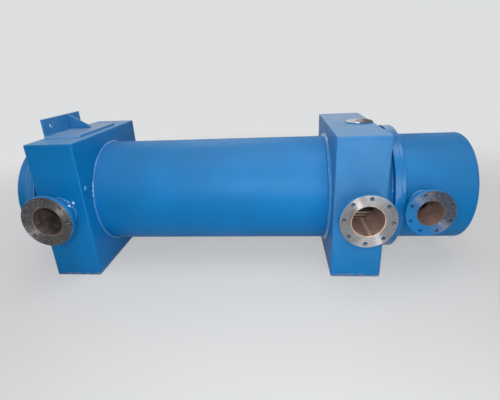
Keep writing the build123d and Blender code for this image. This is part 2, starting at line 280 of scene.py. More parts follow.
def weathered_shade_with_painted_light(tree, place, finish, shade, weather_and_light):
    """Enamel with dust and painted sheen on flat tops, chalk that also paints sheen, chalked edges that also
    paint highlights, and primer showing at the feet.
    """
    chalked_and_lit, dusted_and_sheened, worn_and_highlit = weather_and_light
    speckle = add(tree, "TexNoise", {}, {"Vector": place, "Scale": 1 / (90 * MM), "Detail": 5})
    height = add(tree, "SeparateXYZ", {}, {0: place}, "Z")
    # The chalk grows with height; it also paints a sheen, paler higher up.
    paler_share = add(tree, "MapRange", EASED, {0: height, 1: 0, 2: 0.55, 3: 0.2, 4: 1})
    chalk_with_painted_light = add(tree, "MapRange", EASED, {0: speckle, 1: 0.3, 2: 0.7, 3: 0.8 * chalked_and_lit, 4: 1.2 * chalked_and_lit})
    chalk_with_painted_light = add(tree, "Math", {"operation": "MULTIPLY"}, {0: chalk_with_painted_light, 1: paler_share})
    # Flat tops are paled with chalk, which also paints the sheen of light on them.
    flat = add(tree, "MapRange", EASED, {0: facing(tree, Z), 1: 0.9, 2: 1})
    top_chalk_and_sheen = add(tree, "Math", {"operation": "MULTIPLY"}, {0: flat, 1: TOP_CHALK_AND_SHEEN})
    # Dust on a top thickens towards its rear, and also paints the sheen of light that grows further back
    # there.
    rearwards = add(tree, "SeparateXYZ", {}, {0: place}, "Y")
    rearward_speckle = add(tree, "Math", {"operation": "MULTIPLY_ADD"}, {0: rearwards, 1: 0.8, 2: speckle})
    dust_and_sheen_share = add(tree, "MapRange", EASED, {0: rearward_speckle, 1: 0.2, 2: 0.8, 3: 0.1 * dusted_and_sheened, 4: dusted_and_sheened})
    dust_and_rear_sheen = add(tree, "Math", {"operation": "MULTIPLY"}, {0: flat, 1: dust_and_sheen_share})
    # The rounded normal leaves the true one only near an edge.
    rounded = add(tree, "Bevel", {"samples": 6}, {"Radius": WORN_AND_HIGHLIT_EDGE})
    true = add(tree, "NewGeometry", {}, {}, "True Normal")
    turn = add(tree, "VectorMath", {"operation": "DOT_PRODUCT"}, {0: rounded, 1: true}, "Value")
    # Edges are paled with chalk, as wear and as a painted highlight along them.
    rubbed_and_highlit = add(tree, "MapRange", EASED, {0: speckle, 1: 0.35, 2: 0.7, 3: 0.15 * worn_and_highlit, 4: 0.75 * worn_and_highlit})
    edge = add(tree, "MapRange", EASED, {0: turn, 1: 0.86, 2: 0.99, 3: 1, 4: 0})
    edge = add(tree, "Math", {"operation": "MULTIPLY"}, {0: edge, 1: rubbed_and_highlit})
    scrapes = add(tree, "TexNoise", {}, {"Vector": place, "Scale": 1 / (35 * MM), "Detail": 5})
    ragged = add(tree, "Math", {"operation": "MULTIPLY_ADD"}, {0: scrapes, 1: -60 * MM, 2: height})
    scraped = add(tree, "MapRange", EASED, {0: ragged, 1: -22 * MM, 2: -12 * MM, 3: SCRAPED_FEET, 4: 0})
    for share, layer in ((chalk_with_painted_light, finish.chalk_and_painted_light), (top_chalk_and_sheen, finish.chalk_and_painted_light), (dust_and_rear_sheen, finish.dust_and_sheen),
                         (edge, finish.chalk_and_painted_light), (scraped, finish.primer)):
        shade = add(tree, "Mix", TINTED, {0: share, 6: shade, 7: opaque(layer)}, 2)
    return shade


def enamel(tree, place, finish, weather_and_light=None, gloss="satin"):
    """Shader of alkyd enamel, sprayed over primer."""
    # Satin alkyd enamel gives the eye one clear blue under a broad soft haze of light, faint clouds where it
    # is thinner, slow waves of the plate below, and orange peel close to.
    cloud = add(tree, "TexNoise", {}, {"Vector": place, "Scale": 1 / (300 * MM), "Detail": 2})
    cloud = add(tree, "MapRange", EASED, {0: cloud, 1: 0.35, 2: 0.65})
    shade = add(tree, "Mix", TINTED, {0: cloud, 6: opaque(finish.enamel, 0.93),
                                      7: opaque(finish.enamel, 1.05)}, 2)
    if gloss not in ("bead", "wet"):
        # A thin film of pale dust on whatever looks up, apart from shiny beads, also paints a sheen of light
        # there.
        dust_and_sheen_film = add(tree, "MapRange", EASED, {0: facing(tree, Z), 1: -0.1, 2: 0.8, 3: 0, 4: DUST_AND_SHEEN_FILM})
        shade = add(tree, "Mix", TINTED, {0: dust_and_sheen_film, 6: shade, 7: opaque(finish.dust_and_sheen)}, 2)
    if weather_and_light is not None:
        shade = weathered_shade_with_painted_light(tree, place, finish, shade, weather_and_light)
    wave = add(tree, "TexNoise", {}, {"Vector": place, "Scale": 1 / finish.wave, "Detail": 1})
    normal = add(tree, "Bump", {}, {"Height": wave, "Distance": 2.2 * MM, "Strength": 0.5})
    # Real orange peel is 2 to 4 mm wide. It is drawn coarser so that it shows.
    peel = add(tree, "TexNoise", {}, {"Vector": place, "Scale": 1 / finish.peel, "Detail": 1})
    normal = add(tree, "Bump", {}, {"Height": peel, "Distance": 0.12 * MM, "Strength": 0.5,
                                    "Normal": normal})
    rough = add(tree, "TexNoise", {}, {"Vector": place, "Scale": 1 / (90 * MM), "Detail": 4})
    specular, smooth, coat = GLOSS[gloss]
    rough = add(tree, "MapRange", EASED, {0: rough, 1: 0.3, 2: 0.75, 3: smooth, 4: smooth + 0.1})
    return add(tree, "BsdfPrincipled", {}, {"Base Color": shade, "Roughness": rough, "Normal": normal,
                                            "IOR": PAINT_IOR, "Specular IOR Level": specular,
                                            "Coat Weight": coat, "Coat Roughness": COAT_ROUGHNESS})


def primer(tree, place, finish, painted_shade_and_darkening=0.0):
    """Shader of brushed red-brown primer."""
    # Zinc phosphate primer gives the eye a matt brown with a slight grain, paler in dry patches.
    patch = add(tree, "TexNoise", {}, {"Vector": place, "Scale": 1 / (45 * MM), "Detail": 5})
    paler_share = add(tree, "MapRange", EASED, {0: patch, 1: 0.3, 2: 0.7})
    shade = add(tree, "Mix", TINTED, {0: paler_share, 6: opaque(finish.primer, 0.75),
                                      7: opaque(finish.primer, 1.12)}, 2)
    # The primer is darkened in patches: as painted shade inside the headers, and in the pipes by the given
    # share.
    if painted_shade_and_darkening:
        darker_patches = add(tree, "MapRange", EASED, {0: patch, 1: 0.3, 2: 0.7,
                                              3: min(1, 1.2 * painted_shade_and_darkening), 4: 0.8 * painted_shade_and_darkening})
        shade = add(tree, "Mix", TINTED, {0: darker_patches, 6: shade, 7: opaque(finish.painted_shade_and_darkening)}, 2)
    grain = add(tree, "TexNoise", {}, {"Vector": place, "Scale": 1 / (5 * MM), "Detail": 2})
    normal = add(tree, "Bump", {}, {"Height": grain, "Distance": 0.3 * MM, "Strength": 0.4})
    rough = add(tree, "MapRange", EASED, {0: patch, 1: 0.3, 2: 0.7, 3: 0.5, 4: 0.72})
    return add(tree, "BsdfPrincipled", {}, {"Base Color": shade, "Roughness": rough, "Normal": normal,
                                            "IOR": PAINT_IOR})


def finished(name, shader):
    """Material whose surface is what the given function builds from its tree and place."""
    material = bpy.data.materials.new(name)
    material.use_nodes = True
    tree = material.node_tree
    tree.nodes.clear()
    place = add(tree, "TexCoord", {}, {}, "Object")
    add(tree, "OutputMaterial", {}, {"Surface": shader(tree, place)})
    return material


def enamelled_steel(name, finish, inside=None, weather_and_light=None, gloss="satin", painted_shade_and_darkening=0.0):
    """Mild steel in blue enamel, and in primer where the inside mask is 1."""
    def shader(tree, place):
        outside = enamel(tree, place, finish, weather_and_light, gloss)
        if inside is None:
            return outside
        coats = {0: inside(tree, place), 1: outside, 2: primer(tree, place, finish, painted_shade_and_darkening)}
        return add(tree, "MixShader", {}, coats)
    return finished(name, shader)


def bare_weld(name, finish, age):
    """Bare weld metal in a bore. Age from 0 to 1 darkens it."""
    # Left as laid, it gives the eye a dull pale metal with brown heat stain and fine pits.
    def shader(tree, place):
        heat = add(tree, "TexNoise", {}, {"Vector": place, "Scale": 1 / (18 * MM), "Detail": 5})
        stained = add(tree, "MapRange", EASED, {0: heat, 1: 0.35, 2: 0.75,
                                                3: 0.4 * age, 4: 0.3 + 0.5 * age})
        shade = add(tree, "Mix", TINTED, {0: stained, 6: opaque(finish.weld_metal, 1 - 0.7 * age),
                                          7: opaque(finish.stain, 1 - 0.4 * age)}, 2)
        pits = add(tree, "TexNoise", {}, {"Vector": place, "Scale": 1 / (4 * MM), "Detail": 3})
        normal = add(tree, "Bump", {}, {"Height": pits, "Distance": 0.3 * MM, "Strength": 0.4})
        rough = add(tree, "MapRange", EASED, {0: heat, 1: 0.35, 2: 0.7, 3: 0.35, 4: 0.6})
        return add(tree, "BsdfPrincipled", {}, {"Base Color": shade, "Metallic": 0.3, "Roughness": rough,
                                                "Normal": normal})
    return finished(name, shader)


def within_radius(centre, across, radius):
    """Mask of what lies nearer to a line than the radius."""
    return lambda tree, place: add(tree, "Math", {"operation": "LESS_THAN"},
                                   {0: distance_to_axis(tree, place, centre, across), 1: radius})


def within_box(centre, half):
    """Mask of what lies inside a box."""
    def mask(tree, place):
        offset = add(tree, "VectorMath", {"operation": "SUBTRACT"}, {0: place, 1: centre})
        size = add(tree, "VectorMath", {"operation": "ABSOLUTE"}, {0: offset})
        over = add(tree, "VectorMath", {"operation": "SUBTRACT"}, {0: size, 1: half})
        most = -1.0
        for axis in "XYZ":
            beyond = add(tree, "SeparateXYZ", {}, {0: over}, axis)
            most = add(tree, "Math", {"operation": "MAXIMUM"}, {0: most, 1: beyond})
        return add(tree, "Math", {"operation": "LESS_THAN"}, {0: most, 1: 0})
    return mask


def turned_steel(name, finish, centre, face, radius, age=0.0, overspray=None):
    """Mild steel flange with a turned face, painted on rim and back. Age from 0 to 1 darkens it."""
    # A lathe leaves fine round grooves, which give the eye two bright lobes on opposite sides of the bore, a
    # dark grey between them, and brown specks where rust has started.
    across = [1 - abs(part) for part in face]

    def shader(tree, place):
        ring = distance_to_axis(tree, place, centre, across)
        # A gasket face has about two grooves a millimetre. They are drawn coarser so that they show.
        angle = add(tree, "Math", {"operation": "MULTIPLY"}, {0: ring, 1: 2 * math.pi / finish.groove})
        turns = add(tree, "Math", {"operation": "SINE"}, {0: angle})
        step = add(tree, "Math", {"operation": "MULTIPLY"}, {0: ring, 1: 1 / (7 * MM)})
        band = add(tree, "TexNoise", {"noise_dimensions": "1D"}, {"W": step, "Scale": 1, "Detail": 3})
        band = add(tree, "MapRange", EASED, {0: band, 1: 0.3, 2: 0.7})
        stains = add(tree, "TexNoise", {}, {"Vector": place, "Scale": 1 / (55 * MM), "Detail": 6})
        shade = add(tree, "Mix", TINTED, {0: band, 6: opaque(finish.steel, 0.8 - 0.53 * age),
                                          7: opaque(finish.steel, 1 - 0.6 * age)}, 2)
        stained = add(tree, "MapRange", EASED, {0: stains, 1: 0.42, 2: 0.75,
                                                3: 0.05 + 0.15 * age, 4: 0.5 + 0.2 * age})
        speck = add(tree, "TexNoise", {}, {"Vector": place, "Scale": 1 / (14 * MM), "Detail": 4})
        speck = add(tree, "MapRange", EASED, {0: speck, 1: 0.58, 2: 0.7, 3: 0, 4: 0.2 + 0.5 * age})
        # Handling has rubbed small spots of an old face bright again.
        scuff = add(tree, "TexNoise", {}, {"Vector": place, "Scale": 1 / (11 * MM), "Detail": 3})
        scuff = add(tree, "MapRange", EASED, {0: scuff, 1: 0.45, 2: 0.75, 3: 0, 4: 0.4 * age})
        for share, layer in ((stained, opaque(finish.stain)), (speck, opaque(finish.rust)),
                             (scuff, opaque(finish.steel, 1.2))):
            shade = add(tree, "Mix", TINTED, {0: share, 6: shade, 7: layer}, 2)
        grooves = add(tree, "Bump", {}, {"Height": turns, "Distance": 0.1 * MM, "Strength": 0.3})
        axis = "XYZ"[max(range(3), key=lambda part: abs(face[part]))]
        tangent = add(tree, "Tangent", {"direction_type": "RADIAL", "axis": axis}, {})
        rough = add(tree, "MapRange", EASED, {0: stains, 1: 0.4, 2: 0.75,
                                              3: 0.38 + 0.18 * age, 4: 0.46 + 0.18 * age})
        bare = add(tree, "BsdfPrincipled", {}, {"Base Color": shade, "Metallic": 0.9, "Roughness": rough,
                                                "Normal": grooves, "Tangent": tangent, "Anisotropic": 1,
                                                "Anisotropic Rotation": 0.25})
        rim = add(tree, "Math", {"operation": "GREATER_THAN"}, {0: ring, 1: radius - RIM_PAINT})
        back = add(tree, "Math", {"operation": "LESS_THAN"}, {0: facing(tree, face), 1: -0.5})
        painted = add(tree, "Math", {"operation": "MAXIMUM"}, {0: rim, 1: back})
        if overspray is not None:
            offset = add(tree, "VectorMath", {"operation": "SUBTRACT"}, {0: place, 1: centre})
            along = add(tree, "VectorMath", {"operation": "DOT_PRODUCT"},
                        {0: offset, 1: overspray}, "Value")
            cloud = add(tree, "TexNoise", {}, {"Vector": place, "Scale": 1 / (30 * MM), "Detail": 5})
            ragged = add(tree, "Math", {"operation": "MULTIPLY_ADD"}, {0: cloud, 1: 50 * MM, 2: along})
            drifted = add(tree, "MapRange", EASED, {0: ragged, 1: -40 * MM, 2: 120 * MM, 3: 0.08, 4: 0.85})
            painted = add(tree, "Math", {"operation": "MAXIMUM"}, {0: painted, 1: drifted})
        return add(tree, "MixShader", {}, {0: painted, 1: bare, 2: enamel(tree, place, finish)})
    return finished(name, shader)


def rusty_steel(name, finish, centre):
    """Flame-cut steel flange, part way to rust."""
    # It gives the eye near-white metal on the side that was ground, and brown scale with dark spots opposite.
    def shader(tree, place):
        offset = add(tree, "VectorMath", {"operation": "SUBTRACT"}, {0: place, 1: centre})
        side = add(tree, "VectorMath", {"operation": "DOT_PRODUCT"}, {0: offset, 1: RUSTED_SIDE}, "Value")
        blotch = add(tree, "TexNoise", {}, {"Vector": place, "Scale": 1 / (22 * MM), "Detail": 5})
        ragged = add(tree, "Math", {"operation": "MULTIPLY_ADD"}, {0: blotch, 1: 90 * MM, 2: side})
        rusted = add(tree, "MapRange", EASED, {0: ragged, 1: 22 * MM, 2: 75 * MM})
        spot = add(tree, "TexNoise", {}, {"Vector": place, "Scale": 1 / (12 * MM), "Detail": 4})
        spot = add(tree, "MapRange", EASED, {0: spot, 1: 0.46, 2: 0.6})
        scale = add(tree, "Mix", TINTED, {0: spot, 6: opaque(finish.stain), 7: opaque(finish.rust, 0.7)}, 2)
        shade = add(tree, "Mix", TINTED, {0: rusted, 6: opaque(finish.cut_steel), 7: scale}, 2)
        pits = add(tree, "TexNoise", {}, {"Vector": place, "Scale": 1 / (6 * MM), "Detail": 4})
        normal = add(tree, "Bump", {}, {"Height": pits, "Distance": 0.6 * MM, "Strength": 0.5})
        metal = add(tree, "MapRange", EASED, {0: rusted, 3: 0.9, 4: 0})
        rough = add(tree, "MapRange", EASED, {0: rusted, 3: 0.36, 4: 0.8})
        return add(tree, "BsdfPrincipled", {}, {"Base Color": shade, "Metallic": metal, "Roughness": rough,
                                                "Normal": normal})
    return finished(name, shader)


def drawn_tube(name, finish):
    """Drawn brass tube, dulled in service."""
    # It gives the eye a pinkish brown metal with long draw lines, and darker tarnish in patches, with painted
    # shade between the tubes and over the upper ones.
    def shader(tree, place):
        # Draw lines are fifty times as long as they are wide.
        drawn = add(tree, "VectorMath", {"operation": "MULTIPLY"}, {0: place, 1: (0.02, 1, 1)})
        lines = add(tree, "TexNoise", {}, {"Vector": drawn, "Scale": 1 / (6 * MM), "Detail": 3})
        patch = add(tree, "TexNoise", {}, {"Vector": place, "Scale": 1 / (70 * MM), "Detail": 4})
        tarnish = add(tree, "MapRange", EASED, {0: patch, 1: 0.35, 2: 0.7, 3: 0, 4: 0.6})
        shade = add(tree, "Mix", TINTED, {0: tarnish, 6: opaque(finish.tube),
                                          7: opaque(finish.tube, 0.45)}, 2)
        # Painted shade: the tubes are darkened where their neighbours hide the open sky, between the tubes.
        open_sky = add(tree, "AmbientOcclusion", {"samples": 8}, {"Distance": 50 * MM}, "AO")
        painted_shade_between = add(tree, "MapRange", EASED, {0: open_sky, 1: 0.38, 2: 0.85, 3: 1, 4: 0})
        # Painted shade: the tubes above a height just below the axis are darkened.
        height = add(tree, "SeparateXYZ", {}, {0: place}, "Z")
        painted_shade_above = add(tree, "MapRange", EASED, {0: height, 1: SHADED_TUBE_HEIGHTS[0], 2: SHADED_TUBE_HEIGHTS[1],
                                              3: 0, 4: 0.95})
        for share, tone in ((painted_shade_between, 0.1), (painted_shade_above, 0.3)):
            shade = add(tree, "Mix", TINTED, {0: share, 6: shade, 7: opaque(finish.painted_shade_and_darkening, tone)}, 2)
        normal = add(tree, "Bump", {}, {"Height": lines, "Distance": 0.15 * MM, "Strength": 0.4})
        rough = add(tree, "MapRange", EASED, {0: patch, 1: 0.3, 2: 0.7, 3: 0.35, 4: 0.55})
        return add(tree, "BsdfPrincipled", {}, {"Base Color": shade, "Metallic": 0.7, "Roughness": rough,
                                                "Normal": normal})
    return finished(name, shader)


def wear(material, *nodes):
    """Gives CAD nodes a material."""
    for node in nodes:
        mesh = frame["nodes"][node].data
        mesh.materials.clear()
        mesh.materials.append(material)


def nozzle_sizes(nozzle):
    """Middle and outer radius of a nozzle's pipe, its way out, the flange's radius, and places along Y."""
    pipe, pipe_half = middle_and_half(f"{nozzle}_pipe")
    flange, flange_half = middle_and_half(f"{nozzle}_flange")
    out = math.copysign(1, flange.y)
    return {"middle": pipe, "radius": pipe_half.x, "out": Y * out, "flange_radius": flange_half.x,
            "back": flange.y - out * flange_half.y, "mouth": pipe.y + out * pipe_half.y,
            "length": 2 * pipe_half.y}


# A bead's section has, for each step from toe to toe, shares of its size sideways and upwards, the way that
# it swells, and how far.
STEPS = 7
ARC = [math.pi * step / (STEPS - 1) for step in range(STEPS)]
FILLET = [(1 - angle / math.pi, angle / math.pi, (0.7, 0.7), math.sin(angle)) for angle in ARC]
SEAM = [(math.cos(angle), 0, (0, 1), math.sin(angle)) for angle in ARC]
# Least and most height and width of a pool, as shares of what its bead has.
POOL_HEIGHTS, POOL_WIDTHS = (0.2, 1.9), (0.86, 1.16)
# A ripple's middle lies behind its toes by this part of a pool. It falls along this power, to this depth.
CHEVRON, FALL, DIP = 0.4, 1.5, 0.4
# Shares of its size with which an open bead begins and ends, and by which any bead is sunk in the steel.
BEAD_END, SUNK = 0.4, 0.15


def lay_bead(mesh, stations, closed, size, section, crown, ripple, pool):
    """Adds one weld bead along stations of (point, sideways, upwards), with the ripples of its pools."""
    points, faces = mesh
    walked = [0.0]
    for before, after in zip(stations, stations[1:]):
        walked.append(walked[-1] + (after[0] - before[0]).length)
    whole = walked[-1] + ((stations[0][0] - stations[-1][0]).length if closed else 0)
    pools = max(2, round(whole / pool))
    chance = random.Random(len(points) + pools)
    lumps = [chance.uniform(*POOL_HEIGHTS) for _ in range(pools)]
    widths = [chance.uniform(*POOL_WIDTHS) for _ in range(pools)]
    first, ring = len(points), STEPS + 1
    lean = section[0][2][0]
    for (point, side, up), way in zip(stations, walked):
        at = way / whole * pools
        part = at % 1
        swell = widths[int(at) % pools] * (1 - part) + widths[(int(at) + 1) % pools] * part
        if not closed:
            swell *= min(1, BEAD_END + way / size, BEAD_END + (whole - way) / size)
        for share, rise, (lift_side, lift_up), bulge in section:
            reach = at + CHEVRON * bulge
            lump = lumps[int(reach) % pools] * ((1 - reach % 1) ** FALL - DIP)
            lift = bulge * (crown * swell + ripple * lump)
            points.append(point + side * (share * size * swell + lift_side * lift)
                          + up * (rise * size * swell + lift_up * lift))
        # One more point, in the steel, closes the section.
        points.append(point - (side * lean + up) * SUNK * size)
    turns = len(stations) if closed else len(stations) - 1
    for turn in range(turns):
        here, there = first + turn * ring, first + (turn + 1) % len(stations) * ring
        for step in range(ring):
            after = (step + 1) % ring
            faces.append((here + step, here + after, there + after, there + step))
    if not closed:
        faces.append(tuple(first + step for step in reversed(range(ring))))
        faces.append(tuple(first + (len(stations) - 1) * ring + step for step in range(ring)))


def lay_fillet(mesh, stations, closed, leg, kind, weld):
    """Adds a fillet weld of one of the kinds in FILLETS."""
    leg_share, crown, ripple, pool = FILLETS[kind]
    leg *= leg_share
    lay_bead(mesh, stations, closed, leg, FILLET, crown * leg, ripple * weld.ripple, pool * weld.pool)


def lay_seam(mesh, stations, closed, weld):
    """Adds a dressed plate seam."""
    lay_bead(mesh, stations, closed, weld.seam_width / 2, SEAM, weld.seam_height,
             SEAM_RIPPLE * weld.seam_height, weld.pool)


def round_stations(centre, axis, radius, outwards, upwards, step):
    """Stations round a circle. Sideways is along the radius, upwards along the axis."""
    first = Z if abs(axis.z) < 0.5 else X
    second = axis.cross(first)
    count = max(FEWEST_ROUND, round(2 * math.pi * radius / step))
    stations = []
    for turn in range(count):
        angle = 2 * math.pi * turn / count
        way = first * math.cos(angle) + second * math.sin(angle)
        stations.append((centre + way * radius, way * outwards, axis * upwards))
    return stations


def straight_stations(start, end, side, up, step):
    """Stations along a straight joint."""
    count = max(FEWEST_STRAIGHT, round((end - start).length / step))
    return [(start.lerp(end, turn / count), side, up) for turn in range(count + 1)]


def saddle_stations(centre, radius, out, barrel_radius, step):
    """Stations round a pipe where it meets a barrel that lies along X."""
    count = round(2 * math.pi * radius / step)
    stations = []
    for turn in range(count):
        angle = 2 * math.pi * turn / count
        way = X * math.cos(angle) + Z * math.sin(angle)
        rise = radius * math.sin(angle)
        depth = math.sqrt(barrel_radius ** 2 - rise ** 2)
        upright = (out * depth + Z * rise) / barrel_radius
        side = (way - upright * way.dot(upright)).normalized()
        stations.append((centre + way * radius + out * depth, side, out))
    return stations


def welded(name, mesh, material):
    """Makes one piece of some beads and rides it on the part."""
    data = bpy.data.meshes.new(name)
    data.from_pydata([tuple(point) for point in mesh[0]], [], mesh[1])
    shape = bmesh.new()
    shape.from_mesh(data)
    bmesh.ops.recalc_face_normals(shape, faces=shape.faces)
    shape.to_mesh(data)
    shape.free()
    data.materials.append(material)
    data.polygons.foreach_set("use_smooth", [True] * len(data.polygons))
    piece = bpy.data.objects.new(name, data)
    bpy.context.scene.collection.objects.link(piece)
    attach(piece, "root")


class EXCHANGER_OT_paint_plates(bpy.types.Operator):
    """Paints shell, headers, necks, tube sheets, ends and bracket."""

    bl_idname = "exchanger.paint_plates"
    bl_label = "Paint plates and barrels"

    def execute(self, context):
        finish = context.scene.exchanger_finish
        bore = within_radius(SHELL_MIDDLE, (0, 1, 1), SHELL_RADIUS - PRIMED_DEPTH)
        barrels = [f"{end}_{piece}" for end in ENDS for piece in ("neck", "barrel")]
        wear(enamelled_steel("enamelled_rolled_steel", finish, bore, gloss="rolled"), "shell", *barrels)
        rounds = [f"{end}_{piece}" for end in ENDS for piece in ("tube_sheet", "ring")]
        # The chalked edges of tube sheets and rings paint highlights on their rims.
        wear(enamelled_steel("enamelled_round_plate", finish, bore, WEATHER_AND_LIGHT["rounds"], "rim"), *rounds)
        wear(enamelled_steel("enamelled_end_plate", finish, weather_and_light=WEATHER_AND_LIGHT["rounds"]),
             *[f"{end}_end_plate" for end in ENDS])
        for header in HEADERS:
            middle, half = header_box(header)
            inside = within_box(middle, half - Vector((HEADER_PLATE / 2,) * 3))
            # Inside the header the primer is darkened as painted shade.
            wear(enamelled_steel(f"enamelled_plate_{header}", finish, inside, WEATHER_AND_LIGHT[header],
                                 painted_shade_and_darkening=HEADER_PAINTED_SHADE), *[f"{header}_{plate}" for plate in PLATES])
        wear(enamelled_steel("enamelled_plate", finish, weather_and_light=WEATHER_AND_LIGHT["bracket"]),
             "bracket_pad", "bracket_upright", "bracket_gusset")
        wear(finished("primed_plate", lambda tree, place: primer(tree, place, finish)), "channel_partition")
        return {"FINISHED"}


class EXCHANGER_OT_finish_nozzles(bpy.types.Operator):
    """Gives the nozzle pipes paint and primer, and the flanges turned faces."""

    bl_idname = "exchanger.finish_nozzles"
    bl_label = "Finish nozzles"

    def execute(self, context):
        finish = context.scene.exchanger_finish
        for nozzle in NOZZLES:
            sizes = nozzle_sizes(nozzle)
            wall_middle = (sizes["radius"] + BORES[f"{nozzle}_bore"]) / 2
            inside = within_radius(sizes["middle"], (1, 0, 1), wall_middle)
            wear(enamelled_steel(f"enamelled_pipe_{nozzle}", finish, inside, painted_shade_and_darkening=PIPE_DARKENING[nozzle]),
                 f"{nozzle}_pipe")
            age, overspray = FLANGE_AGES[nozzle]
            wear(turned_steel(f"turned_steel_{nozzle}", finish, sizes["middle"], sizes["out"],
                              sizes["flange_radius"], age, overspray), f"{nozzle}_flange")
        return {"FINISHED"}


class EXCHANGER_OT_finish_vent_and_tubes(bpy.types.Operator):
    """Gives the vent flange rust and the tubes drawn metal."""

    bl_idname = "exchanger.finish_vent_and_tubes"
    bl_label = "Finish vent flange and tubes"

    def execute(self, context):
        finish = context.scene.exchanger_finish
        wear(rusty_steel("rusty_steel", finish, middle_and_half("vent_flange")[0]), "vent_flange")
        wear(drawn_tube("drawn_brass", finish), "tubes")
        return {"FINISHED"}


class EXCHANGER_OT_weld_rounds(bpy.types.Operator):
    """Welds shell, necks, rings, barrels and end plates."""

    bl_idname = "exchanger.weld_rounds"
    bl_label = "Weld shell and ends"

    def execute(self, context):
        weld, finish = context.scene.exchanger_weld, context.scene.exchanger_finish
        material = enamelled_steel("enamelled_weld_round", finish, weather_and_light=WEATHER_AND_LIGHT["round_welds"],
                                   gloss="bead")
        dressed = enamelled_steel("enamelled_seam_round", finish)
        axis = Vector((0, 0, SHELL_MIDDLE.z))

        def joint(mesh, along, way, kind="round"):
            stations = round_stations(axis + X * along, X, SHELL_RADIUS, 1, way, weld.pool / FILLET_STATIONS)
            lay_fillet(mesh, stations, True, weld.leg, kind, weld)

        mesh = ([], [])
        joint(mesh, SHELL_MIDDLE.x - SHELL_HALF.x, 1)
        joint(mesh, SHELL_MIDDLE.x + SHELL_HALF.x, -1, "wide_round")
        welded("shell_welds", mesh, material)
        for end, way in ENDS.items():
            mesh = ([], [])
            neck, neck_half = middle_and_half(f"{end}_neck")
            barrel, barrel_half = middle_and_half(f"{end}_barrel")
            joint(mesh, neck.x - way * neck_half.x, way)
            joint(mesh, neck.x + way * neck_half.x, -way)
            joint(mesh, barrel.x - way * barrel_half.x, way)
            welded(f"{end}_welds", mesh, material)
            seam = ([], [])
            rim = round_stations(axis + X * (barrel.x + way * barrel_half.x), X, SHELL_RADIUS, 1, 1,
                                 weld.pool / ROUND_SEAM_STATIONS)
            lay_seam(seam, [(point, up, side) for point, side, up in rim], True, weld)
            welded(f"{end}_seam", seam, dressed)
        return {"FINISHED"}


class EXCHANGER_OT_weld_headers(bpy.types.Operator):
    """Lays the dressed seams between the header plates, and the scar of a fitting clip."""

    bl_idname = "exchanger.weld_headers"
    bl_label = "Weld headers"

    def execute(self, context):
        weld, finish = context.scene.exchanger_weld, context.scene.exchanger_finish
        for header in HEADERS:
            middle, half = header_box(header)
            mesh = ([], [])

            def seam(start, end, side, up):
                stations = straight_stations(start, end, side, up, weld.pool / SEAM_STATIONS)
                lay_seam(mesh, stations, False, weld)

            edge = half - Vector((HEADER_PLATE,) * 3)
            for way in (-1, 1):
                for rise in (-1, 1):
                    across = Vector((edge.x, way * half.y, rise * edge.z))
                    seam(middle + across * Vector((-1, 1, 1)), middle + across, Z, Y * way)
                    along = Vector((way * half.x, edge.y, rise * edge.z))
                    seam(middle + along * Vector((1, -1, 1)), middle + along, Z, X * way)
                    upright = Vector((way * half.x, rise * edge.y, edge.z))
                    seam(middle + upright * Vector((1, 1, -1)), middle + upright, Y, X * way)
            chalked_and_lit, dusted_and_sheened, _ = WEATHER_AND_LIGHT[header]
            welded(f"{header}_seams", mesh,
                   enamelled_steel(f"enamelled_seam_{header}", finish, weather_and_light=(chalked_and_lit, dusted_and_sheened, 0)))
        middle, half = header_box("left_header")
        scar = ([], [])
        start = middle + Vector((half.x, SCAR_PLACE[0] * half.y, SCAR_PLACE[1] * half.z))
        stations = straight_stations(start, start + SCAR_WAY * SCAR_LENGTH, X.cross(SCAR_WAY), X, SCAR_STEP)
        lay_bead(scar, stations, False, SCAR_HALF_WIDTH, SEAM, SCAR_CROWN, 0, 2 * weld.pool)
        welded("left_header_scar", scar, enamelled_steel("enamelled_weld_scar", finish, gloss="wet"))
        return {"FINISHED"}


